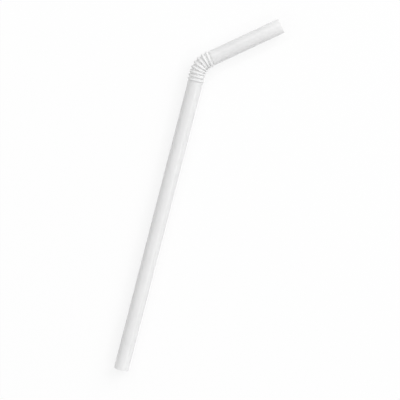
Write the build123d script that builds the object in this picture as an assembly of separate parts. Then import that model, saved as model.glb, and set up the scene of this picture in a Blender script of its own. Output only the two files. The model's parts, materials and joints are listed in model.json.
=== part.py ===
from build123d import *
from math import radians
import os

# A bendy drinking straw: one length of thin plastic tube with a band of rolled grooves, the bellows,
# between a long stem and a short mouthpiece. It lies on its side with the bend flat.
# Millimetres, +Z up. The stem runs along +Y and the mouthpiece turns off towards +X.

# Tube, smooth at both ends of the bellows
outer_diameter = 7.0
wall = 0.18
stem_length = 141.0
mouthpiece_length = 35.0

# The bellows: rings that stand out a little from the tube, each with a groove sunk behind it.
# A short flank climbs to a ring, and a long one falls from it towards the mouthpiece.
ring_rise = 0.45
groove_depth = 0.25
short_flank = 0.48
crest_width = 0.30
long_flank = 0.72
root_width = 0.18

# The row of grooves, and the bend that is shared out evenly over the grooves in it
grooves_below_bend = 2
grooves_in_bend = 5
grooves_above_bend = 1
bend_angle = 50.4

outer_radius = outer_diameter / 2
groove_pitch = short_flank + crest_width + long_flank + root_width
grooves = grooves_below_bend + grooves_in_bend + grooves_above_bend
first_crest = stem_length + short_flank
bellows_length = short_flank + grooves * groove_pitch
bend_start = first_crest + grooves_below_bend * groove_pitch
bend_length = grooves_in_bend * groove_pitch
bend_radius = bend_length / radians(bend_angle)
straw_length = stem_length + bellows_length + mouthpiece_length


def centre_line():
    """The straw's axis, from the foot of the stem at the origin to the tip of the mouthpiece."""
    lower = Line((0, 0), (0, bend_start))
    bend = JernArc(lower @ 1, lower % 1, bend_radius, -bend_angle)
    upper = Line(bend @ 1, bend @ 1 + (bend % 1) * (straw_length - bend_start - bend_length))
    return Wire([lower, bend, upper])


axis = centre_line()


def disc(distance, radius):
    """A round section square to the axis at a distance from the foot, with its seam underneath."""
    station = Plane(
        origin=axis.position_at(distance, position_mode=PositionMode.LENGTH),
        x_dir=(0, 0, -1),
        z_dir=axis.tangent_at(distance, position_mode=PositionMode.LENGTH),
    )
    return station * Circle(radius)


def bellows(skin_radius):
    """The grooved band. Its sections fan out round the bend, so the grooves close up on the inner side."""
    ring_radius = skin_radius + ring_rise
    root_radius = skin_radius - groove_depth
    sections = [disc(stem_length, skin_radius)]
    for groove in range(grooves):
        crest = first_crest + groove * groove_pitch
        fall = crest + crest_width
        root = fall + long_flank
        climb = root + root_width
        sections += [
            disc(crest, ring_radius),
            disc(fall, ring_radius),
            disc(root, root_radius),
            disc(climb, root_radius),
        ]
    sections.append(disc(stem_length + bellows_length, skin_radius))
    return loft(sections, ruled=True)


def rod(skin_radius):
    """The straw as a solid rod, with the given radius along its smooth ends."""
    stem = extrude(disc(0, skin_radius), stem_length)
    mouthpiece = extrude(disc(straw_length - mouthpiece_length, skin_radius), mouthpiece_length)
    return stem + bellows(skin_radius) + mouthpiece


straw = rod(outer_radius) - rod(outer_radius - wall)

# The origin is on the ground under the middle of the straw
box = straw.bounding_box()
straw = Pos(-box.center().X, -box.center().Y, -box.min.Z) * straw

os.makedirs("parts", exist_ok=True)
export_step(straw, "parts/straw.step")
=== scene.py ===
import json
import math

import bpy
from mathutils import Matrix, Vector


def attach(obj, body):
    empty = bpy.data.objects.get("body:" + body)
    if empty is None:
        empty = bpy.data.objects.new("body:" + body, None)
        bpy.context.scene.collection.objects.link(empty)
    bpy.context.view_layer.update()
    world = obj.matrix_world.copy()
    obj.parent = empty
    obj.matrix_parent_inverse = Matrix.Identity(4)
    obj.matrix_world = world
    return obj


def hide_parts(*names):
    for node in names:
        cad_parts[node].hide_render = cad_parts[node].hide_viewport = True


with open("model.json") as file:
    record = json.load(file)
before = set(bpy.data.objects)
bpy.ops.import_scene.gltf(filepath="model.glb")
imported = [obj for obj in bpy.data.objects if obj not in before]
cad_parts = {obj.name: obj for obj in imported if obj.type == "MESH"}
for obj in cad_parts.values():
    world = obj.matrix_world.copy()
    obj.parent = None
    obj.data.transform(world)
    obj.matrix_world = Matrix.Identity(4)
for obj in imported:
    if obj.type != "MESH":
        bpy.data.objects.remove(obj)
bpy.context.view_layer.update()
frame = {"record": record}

MM = 0.001

# The straw's smooth tube, from the interfaces that the frame holds
mounts = {mount["name"]: mount for mount in frame["record"]["mounts"]}
outer_radius = mounts["stem_outside"]["dims"]["r_mm"] * MM
bore_radius = mounts["stem_bore"]["dims"]["r_mm"] * MM
stem_length = mounts["stem_outside"]["dims"]["length_mm"] * MM
mouthpiece_length = mounts["mouthpiece_outside"]["dims"]["length_mm"] * MM
foot = Vector(mounts["stem_outside"]["pos_m"])
tip = Vector(mounts["mouthpiece_outside"]["pos_m"])
stem_direction = -Vector(mounts["stem_outside"]["axis"])
mouthpiece_direction = Vector(mounts["mouthpiece_outside"]["axis"])
wall = outer_radius - bore_radius
bend_angle = stem_direction.angle(mouthpiece_direction)

# The bellows: rings that stand out from the tube, each with a groove sunk behind it
ring_rise = 0.45 * MM
groove_depth = 0.25 * MM
short_flank = 0.48 * MM
crest_width = 0.30 * MM
long_flank = 0.72 * MM
root_width = 0.18 * MM
grooves_below_bend = 2
grooves_in_bend = 5
grooves_above_bend = 1
groove_pitch = short_flank + crest_width + long_flank + root_width
grooves = grooves_below_bend + grooves_in_bend + grooves_above_bend
first_ring = stem_length + short_flank
last_ring = first_ring + (grooves - 1) * groove_pitch + crest_width

# How round the folds and the cut ends are, and how finely the mesh is cut
fold_radius = 0.20 * MM
lip_radius = 0.08 * MM
fold_points = 4
sides = 96
tube_step = 2.0 * MM
same_place = 0.001 * MM

# White polypropylene: how white the tube and its folds are, from 0 to 1 between the three colours
straw_shade = (0.885, 0.885, 0.885, 1.0)
straw_white = (0.925, 0.925, 0.925, 1.0)
# Painted light in part: this whiter fold colour, whitest at the groove roots, lifts the shade in the
# grooves; the rest stands for the plastic's stress-whitening
fold_white_and_painted_light = (0.97, 0.97, 0.97, 1.0)
straw_white_level = 0.6
tube_level = 0.3
tube_swing = 0.2
# Painted sheen in part: the crests are whiter than the tube so they read like a highlight on them; the rest
# is stress-whitening
crest_level_and_painted_sheen = 0.85
fold_blend = 0.5 * MM

# Its gloss, and the light that its thin wall lets through
tube_roughness = 0.18
roughness_swing = 0.04
fold_roughness = 0.06
refraction = 1.49
scatter_share = 0.7
scatter_depth = 0.32 * MM

# Faint lines that the die drew along the tube, and a slower drift
die_line_width = 0.6 * MM
die_line_depth = 0.006 * MM
die_line_stretch = 120
drift_width = 6.0 * MM
drift_stretch = 10
noise_detail = 2.0

# Camera: as seen in the photograph, with the stem leaning to the right of the picture's upright
picture_pixels = 400
metres_per_photo_pixel = 0.84 * MM
closer_than_photo = 1.8
stem_lean = math.radians(14.5)
view_tilt = math.radians(9.0)
lens_mm = 150.0
sensor_mm = 36.0
straight_up = Vector((0, 0, 1))
picture_right = Matrix.Rotation(stem_lean, 3, straight_up) @ Vector((1, 0, 0))
picture_top = straight_up.cross(picture_right)
view_direction = math.cos(view_tilt) * straight_up + math.sin(view_tilt) * picture_top
straw_middle = (foot + tip) / 2

# Light: an even surround, a soft key over the upper right of the picture, and a strip for each tube's sheen
surround_strength = 0.61
key_to_right = 0.59
key_to_top = 0.57
key_to_viewer = 0.60
key_distance = 4.0
key_side = 2.8
key_power = 72.0
stem_sheen_turn = math.radians(20)
mouthpiece_sheen_turn = math.radians(-24)
strip_distance = 2.8
strip_width = 0.3
strip_length = 1.6
strip_power = 6.4

# Floor: wide, plain and pale, and lifted to white where it is seen
floor_half = 3.0
floor_shade = 0.66
floor_glow = 0.65
floor_white = 1.185


class Value:
    """A socket in a node tree. An operator on it adds a Math node and gives that node's result."""

    def __init__(self, nodes, socket):
        self.nodes = nodes
        self.socket = socket

    def __neg__(self):
        return self.nodes.math("MULTIPLY", self, -1)

    def __add__(self, other):
        return self.nodes.math("ADD", self, other)

    def __radd__(self, other):
        return self.nodes.math("ADD", other, self)

    def __sub__(self, other):
        return self.nodes.math("SUBTRACT", self, other)

    def __rsub__(self, other):
        return self.nodes.math("SUBTRACT", other, self)

    def __mul__(self, other):
        return self.nodes.math("MULTIPLY", self, other)

    def __rmul__(self, other):
        return self.nodes.math("MULTIPLY", other, self)

    def __truediv__(self, other):
        return self.nodes.math("DIVIDE", self, other)

    def __rtruediv__(self, other):
        return self.nodes.math("DIVIDE", other, self)

    def __gt__(self, other):
        return self.nodes.math("GREATER_THAN", self, other)

    def __lt__(self, other):
        return self.nodes.math("LESS_THAN", self, other)


class Outputs:
    """The results of one node, by name or place."""

    def __init__(self, nodes, node):
        self.nodes = nodes
        self.node = node

    def __getitem__(self, key):
        return Value(self.nodes, self.node.outputs[key])


class Nodes:
    """A node tree, with one method that adds any node."""

    def __init__(self, tree):
        self.tree = tree
        self.tree.nodes.clear()

    def add(self, kind, settings=None, sockets=None):
        node = self.tree.nodes.new(kind)
        for name, value in (settings or {}).items():
            if name == "stops":
                self.set_stops(node.color_ramp.elements, value)
            else:
                setattr(node, name, value)
        for key, value in (sockets or {}).items():
            if isinstance(value, Value):
                self.tree.links.new(value.socket, node.inputs[key])
            else:
                node.inputs[key].default_value = value
        return Outputs(self, node)

    def set_stops(self, elements, stops):
        while len(elements) < len(stops):
            elements.new(1.0)
        for element, (position, colour) in zip(elements, stops):
            element.position = position
            element.color = colour

    def math(self, operation, *operands):
        return self.add("ShaderNodeMath", {"operation": operation}, dict(enumerate(operands)))["Value"]


def wall_section(nodes, given):
    """The section of the wall: along its outer face from foot to tip, and back along its inner face."""
    pitch = given["Short Flank"] + given["Crest Width"] + given["Long Flank"] + given["Root Width"]
    first_crest = given["Stem Length"] + given["Short Flank"]
    length = first_crest + given["Grooves"] * pitch + given["Mouthpiece Length"]

    # Each face has a station at foot and tip, at both ends of the bellows, and four on each ring and groove
    stations = 4 * given["Grooves"] + 4
    index = nodes.add("GeometryNodeInputIndex")["Index"]
    inner = index > stations - 0.5
    station = index + inner * (2 * stations - 1 - 2 * index)
    at_foot = station < 0.5
    at_tip = station > stations - 1.5
    at_end = at_foot + at_tip
    in_bellows = (station > 1.5) * (station < stations - 2.5)

    # The four are the crest's start and end, and then the root's
    groove = nodes.math("FLOOR", (station - 2) / 4)
    step = station - 2 - 4 * groove
    past_crest = step > 0.5
    past_fall = step > 1.5
    past_root = step > 2.5
    within_groove = past_crest * given["Crest Width"] + past_fall * given["Long Flank"]
    within_groove = within_groove + past_root * given["Root Width"]
    along = (1 - at_end) * (first_crest + groove * pitch + within_groove) + at_tip * length
    above_tube = given["Ring Rise"] - past_fall * (given["Ring Rise"] + given["Groove Depth"])
    outwards = in_bellows * above_tube - inner * given["Wall"]
    section_point = nodes.add("ShaderNodeCombineXYZ", {}, {"X": outwards, "Y": -along})["Vector"]

    # A loop of such points, rounded at every fold and at the lips
    rounding = at_end * given["Lip Radius"] + (1 - at_end) * given["Fold Radius"]
    loop = nodes.add("GeometryNodeMeshCircle", {"fill_type": "NONE"}, {"Vertices": 2 * stations})["Mesh"]
    loop = nodes.add(
        "GeometryNodeStoreNamedAttribute",
        {"data_type": "FLOAT", "domain": "POINT"},
        {"Geometry": loop, "Name": "rounding", "Value": rounding},
    )["Geometry"]
    loop = nodes.add("GeometryNodeSetPosition", {}, {"Geometry": loop, "Position": section_point})
    section = nodes.add("GeometryNodeMeshToCurve", {}, {"Mesh": loop["Geometry"]})["Curve"]
    kept_rounding = nodes.add(
        "GeometryNodeInputNamedAttribute", {"data_type": "FLOAT"}, {"Name": "rounding"}
    )["Attribute"]
    return nodes.add(
        "GeometryNodeFilletCurve",
        {"mode": "POLY"},
        {
            "Curve": section,
            "Count": given["Fold Points"],
            "Radius": kept_rounding,
            "Limit Radius": True,
        },
    )["Curve"]


def in_even_steps(nodes, curve, step):
    """A curve whose long straight runs are cut into even parts, none longer than a step."""
    place = nodes.add("GeometryNodeInputPosition")["Position"]
    next_point = nodes.add("GeometryNodeOffsetPointInCurve", {}, {"Offset": 1})["Point Index"]
    next_place = nodes.add(
        "GeometryNodeFieldAtIndex",
        {"data_type": "FLOAT_VECTOR", "domain": "POINT"},
        {"Value": place, "Index": next_point},
    )["Value"]
    run = nodes.add("ShaderNodeVectorMath", {"operation": "DISTANCE"}, {0: place, 1: next_place})["Value"]
    cuts = nodes.math("FLOOR", run / step)
    return nodes.add("GeometryNodeSubdivideCurve", {}, {"Curve": curve, "Cuts": cuts})["Curve"]


def turned_tube(nodes, given, section):
    """The section turned about an upright axis. Every point keeps its place on this straight tube."""
    turn = nodes.add(
        "GeometryNodeCurvePrimitiveCircle",
        {"mode": "RADIUS"},
        {"Resolution": given["Sides"], "Radius": given["Outer Radius"]},
    )["Curve"]
    turn = nodes.add("GeometryNodeSetCurveNormal", {"mode": "Z_UP"}, {"Curve": turn})["Curve"]
    tube = nodes.add("GeometryNodeCurveToMesh", {}, {"Curve": turn, "Profile Curve": section})["Mesh"]
    tube = nodes.add("GeometryNodeRemoveAttribute", {}, {"Geometry": tube, "Name": "rounding"})["Geometry"]

    # Points are joined where the rounding of one fold meets the next
    tube = nodes.add(
        "GeometryNodeMergeByDistance", {}, {"Geometry": tube, "Distance": given["Same Place"]}
    )["Geometry"]
    place = nodes.add("GeometryNodeInputPosition")["Position"]
    return nodes.add(
        "GeometryNodeStoreNamedAttribute",
        {"data_type": "FLOAT_VECTOR", "domain": "POINT"},
        {"Geometry": tube, "Name": "straight", "Value": place},
    )["Geometry"]


def laid_and_bent(nodes, given, tube):
    """The upright tube laid along +Y, bent towards +X and moved to its foot."""
    place = nodes.add("GeometryNodeInputPosition")["Position"]
    upright = nodes.add("ShaderNodeSeparateXYZ", {}, {"Vector": place})
    aside = upright["X"]
    along = upright["Z"]
    past_start = along - given["Bend Start"]
    turned = nodes.math("MAXIMUM", past_start / given["Bend Radius"], 0)
    turned = nodes.math("MINIMUM", turned, given["Bend Angle"])
    before = nodes.math("MINIMUM", along, given["Bend Start"])
    beyond = nodes.math("MAXIMUM", past_start - given["Bend Radius"] * given["Bend Angle"], 0)
    sine = nodes.math("SINE", turned)
    cosine = nodes.math("COSINE", turned)
    bent = nodes.add(
        "ShaderNodeCombineXYZ",
        {},
        {
            "X": given["Bend Radius"] * (1 - cosine) + beyond * sine + aside * cosine,
            "Y": before + given["Bend Radius"] * sine + beyond * cosine - aside * sine,
            "Z": upright["Y"],
        },
    )["Vector"]
    bent = nodes.add("ShaderNodeVectorMath", {"operation": "ADD"}, {0: bent, 1: given["Foot"]})["Vector"]
    return nodes.add("GeometryNodeSetPosition", {}, {"Geometry": tube, "Position": bent})["Geometry"]


def straw_tree(sizes):
    """Geometry nodes for the straw: the section of its wall is drawn flat, turned and then bent."""
    tree = bpy.data.node_groups.new("bendy_straw", "GeometryNodeTree")
    nodes = Nodes(tree)
    kinds = {float: "NodeSocketFloat", int: "NodeSocketInt", Vector: "NodeSocketVector"}
    for name, value in sizes.items():
        kind = kinds.get(type(value), "NodeSocketMaterial")
        tree.interface.new_socket(name, in_out="INPUT", socket_type=kind)
    tree.interface.new_socket("Straw", in_out="OUTPUT", socket_type="NodeSocketGeometry")
    given = nodes.add("NodeGroupInput")
    section = in_even_steps(nodes, wall_section(nodes, given), given["Tube Step"])
    straw = laid_and_bent(nodes, given, turned_tube(nodes, given, section))
    straw = nodes.add("GeometryNodeSetShadeSmooth", {}, {"Geometry": straw, "Shade Smooth": True})
    straw = nodes.add("GeometryNodeRealizeInstances", {}, {"Geometry": straw["Geometry"]})["Geometry"]
    straw = nodes.add("GeometryNodeSetMaterial", {}, {"Geometry": straw, "Material": given["Plastic"]})
    nodes.add("NodeGroupOutput", {}, {"Straw": straw["Geometry"]})
    return tree


def mesh_from_nodes(name, tree, sizes):
    """A plain mesh object made by a tree of geometry nodes at the given sizes."""
    carrier = bpy.data.objects.new(name + "_carrier", bpy.data.meshes.new(name + "_carrier"))
    bpy.context.scene.collection.objects.link(carrier)
    modifier = carrier.modifiers.new("shape", "NODES")
    modifier.node_group = tree
    for item in tree.interface.items_tree:
        if item.in_out == "INPUT":
            modifier[item.identifier] = sizes[item.name]
    depsgraph = bpy.context.evaluated_depsgraph_get()
    mesh = bpy.data.meshes.new_from_object(carrier.evaluated_get(depsgraph))
    mesh.name = name
    bpy.data.objects.remove(carrier)
    piece = bpy.data.objects.new(name, mesh)
    bpy.context.scene.collection.objects.link(piece)
    return piece


def drawn_out_noise(nodes, straight, width, stretch):
    """Noise of a width round the tube, drawn out along it."""
    squeeze = (1.0, 1.0, 1.0 / stretch)
    place = nodes.add("ShaderNodeVectorMath", {"operation": "MULTIPLY"}, {0: straight, 1: squeeze})
    sockets = {"Vector": place["Vector"], "Scale": 1.0 / width, "Detail": noise_detail}
    return nodes.add("ShaderNodeTexNoise", {}, sockets)["Fac"]


def past(nodes, along, place):
    """0 before a place along the tube and 1 past it, with a soft step."""
    step = {"Value": along, "From Min": place - fold_blend / 2, "From Max": place + fold_blend / 2}
    return nodes.add("ShaderNodeMapRange", {"interpolation_type": "SMOOTHSTEP"}, step)["Result"]


def pressed_in(nodes, straight):
    """0 on top of a ring and 1 at the root of a groove, where the roller pressed the wall in."""
    across = (1.0, 1.0, 0.0)
    from_axis = nodes.add("ShaderNodeVectorMath", {"operation": "MULTIPLY"}, {0: straight, 1: across})
    radius = nodes.add("ShaderNodeVectorMath", {"operation": "LENGTH"}, {0: from_axis["Vector"]})["Value"]
    return (outer_radius + ring_rise - radius) / (ring_rise + groove_depth)


def white_polypropylene():
    """Thin white plastic with faint die lines along it, and folds painted whiter: partly the
    stress-whitening of rolling, partly painted light in the grooves' shade and a painted sheen on the
    crests.
    """
    material = bpy.data.materials.new("white_polypropylene")
    material.use_nodes = True
    nodes = Nodes(material.node_tree)
    straight = nodes.add(
        "ShaderNodeAttribute", {"attribute_type": "GEOMETRY", "attribute_name": "straight"}
    )["Vector"]
    along = nodes.add("ShaderNodeSeparateXYZ", {}, {"Vector": straight})["Z"]
    in_bellows = past(nodes, along, first_ring) - past(nodes, along, last_ring)

    # From 0 to 2, and 1 on average
    die_lines = drawn_out_noise(nodes, straight, die_line_width, die_line_stretch)
    drift = drawn_out_noise(nodes, straight, drift_width, drift_stretch)
    unevenness = die_lines + drift

    tube_whiteness = tube_level + tube_swing * (unevenness - 1)
    # Painted light in part: the folds grow whiter towards the groove roots, lifting the shade there, and
    # the crests get a painted sheen; the rest is stress-whitening
    fold_whiteness_and_painted_light = crest_level_and_painted_sheen + (1 - crest_level_and_painted_sheen) * pressed_in(nodes, straight)
    whiteness = tube_whiteness + in_bellows * (fold_whiteness_and_painted_light - tube_whiteness)
    stops = [(0.0, straw_shade), (straw_white_level, straw_white), (1.0, fold_white_and_painted_light)]
    colour = nodes.add("ShaderNodeValToRGB", {"stops": stops}, {"Fac": whiteness})["Color"]
    bump = nodes.add("ShaderNodeBump", {}, {"Distance": die_line_depth, "Height": unevenness})["Normal"]
    plastic = nodes.add(
        "ShaderNodeBsdfPrincipled",
        {},
        {
            "Base Color": colour,
            "Roughness": tube_roughness + roughness_swing * unevenness + fold_roughness * in_bellows,
            "Normal": bump,
            "IOR": refraction,
            "Subsurface Weight": scatter_share,
            "Subsurface Radius": (1.0, 1.0, 1.0),
            "Subsurface Scale": scatter_depth,
        },
    )["BSDF"]
    nodes.add("ShaderNodeOutputMaterial", {}, {"Surface": plastic})
    return material


def seen_directly(nodes):
    """1 for rays from the camera, mirrors and clear things, and 0 for the light that bounces about."""
    path = nodes.add("ShaderNodeLightPath")
    seen = nodes.math("MAXIMUM", path["Is Camera Ray"], path["Is Glossy Ray"])
    return nodes.math("MAXIMUM", seen, path["Is Transmission Ray"])


def pale_floor():
    """A wide plain floor, lifted to white where it is seen, that keeps the straw's shadow."""
    corners = [
        (-floor_half, -floor_half, 0.0),
        (floor_half, -floor_half, 0.0),
        (floor_half, floor_half, 0.0),
        (-floor_half, floor_half, 0.0),
    ]
    mesh = bpy.data.meshes.new("floor")
    mesh.from_pydata(corners, [], [(0, 1, 2, 3)])
    floor = bpy.data.objects.new("floor", mesh)
    bpy.context.scene.collection.objects.link(floor)
    material = bpy.data.materials.new("pale_floor")
    material.use_nodes = True
    nodes = Nodes(material.node_tree)
    matt = nodes.add("ShaderNodeBsdfDiffuse", {}, {"Color": (floor_shade, floor_shade, floor_shade, 1.0)})
    white = nodes.add("ShaderNodeEmission", {}, {"Color": (1.0, 1.0, 1.0, 1.0), "Strength": floor_white})
    lifted = nodes.add(
        "ShaderNodeMixShader",
        {},
        {0: floor_glow * seen_directly(nodes), 1: matt["BSDF"], 2: white["Emission"]},
    )["Shader"]
    nodes.add("ShaderNodeOutputMaterial", {}, {"Surface": lifted})
    mesh.materials.append(material)


def facing(direction, upright):
    """A turn that points Z along a direction and keeps Y as near to upright as it can."""
    back = direction.normalized()
    right = upright.cross(back).normalized()
    return Matrix((right, back.cross(right), back)).transposed().to_4x4()


def soft_lamp(name, direction, upright, distance, wide, high, power):
    """A soft box that faces the straw from a direction."""
    lamp = bpy.data.lights.new(name, "AREA")
    lamp.shape = "RECTANGLE"
    lamp.size = wide
    lamp.size_y = high
    lamp.energy = power
    box = bpy.data.objects.new(name, lamp)
    bpy.context.scene.collection.objects.link(box)
    place = straw_middle + direction.normalized() * distance
    box.matrix_world = Matrix.Translation(place) @ facing(direction, upright)
    return box


def sheen_strip(name, tube_direction, turn):
    """A narrow soft box whose mirror image runs along a tube, at a turn about it from its top line."""
    normal = Matrix.Rotation(turn, 3, tube_direction) @ straight_up
    mirrored = 2 * normal.dot(view_direction) * normal - view_direction
    soft_lamp(name, mirrored, tube_direction, strip_distance, strip_width, strip_length, strip_power)


def studio_light():
    """An even white surround, a large soft key and two strips that draw the plastic's sheen."""
    world = bpy.data.worlds.new("white_surround")
    bpy.context.scene.world = world
    world.use_nodes = True
    nodes = Nodes(world.node_tree)
    seen = seen_directly(nodes)
    strength = seen + (1 - seen) * surround_strength
    surround = nodes.add("ShaderNodeBackground", {}, {"Color": (1.0, 1.0, 1.0, 1.0), "Strength": strength})
    nodes.add("ShaderNodeOutputWorld", {}, {"Surface": surround["Background"]})

    # The strips alone give the sheen. A mirror image of the key would glare white in low views
    key_direction = key_to_right * picture_right + key_to_top * picture_top + key_to_viewer * straight_up
    key = soft_lamp("soft_key", key_direction, picture_top, key_distance, key_side, key_side, key_power)
    key.visible_glossy = False
    sheen_strip("stem_sheen", stem_direction, stem_sheen_turn)
    sheen_strip("mouthpiece_sheen", mouthpiece_direction, mouthpiece_sheen_turn)


def photo_camera():
    """Looks down on the straw, tipped a little towards the top of the picture."""
    data = bpy.data.cameras.new("photo_camera")
    data.lens = lens_mm
    data.sensor_width = sensor_mm
    camera = bpy.data.objects.new("photo_camera", data)
    bpy.context.scene.collection.objects.link(camera)
    view_width = picture_pixels * metres_per_photo_pixel / closer_than_photo
    place = straw_middle + view_direction * view_width * lens_mm / sensor_mm
    camera.matrix_world = Matrix.Translation(place) @ facing(view_direction, picture_top)
    bpy.context.scene.camera = camera


sizes = {
    "Outer Radius": outer_radius,
    "Wall": wall,
    "Stem Length": stem_length,
    "Mouthpiece Length": mouthpiece_length,
    "Ring Rise": ring_rise,
    "Groove Depth": groove_depth,
    "Short Flank": short_flank,
    "Crest Width": crest_width,
    "Long Flank": long_flank,
    "Root Width": root_width,
    "Grooves": grooves,
    "Bend Start": first_ring + grooves_below_bend * groove_pitch,
    "Bend Radius": grooves_in_bend * groove_pitch / bend_angle,
    "Bend Angle": bend_angle,
    "Fold Radius": fold_radius,
    "Lip Radius": lip_radius,
    "Fold Points": fold_points,
    "Sides": sides,
    "Tube Step": tube_step,
    "Same Place": same_place,
    "Foot": foot,
    "Plastic": white_polypropylene(),
}
straw = mesh_from_nodes("bendy_straw", straw_tree(sizes), sizes)
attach(straw, "root")
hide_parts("straw")

pale_floor()
studio_light()
photo_camera()
bpy.context.scene.view_settings.view_transform = "Standard"
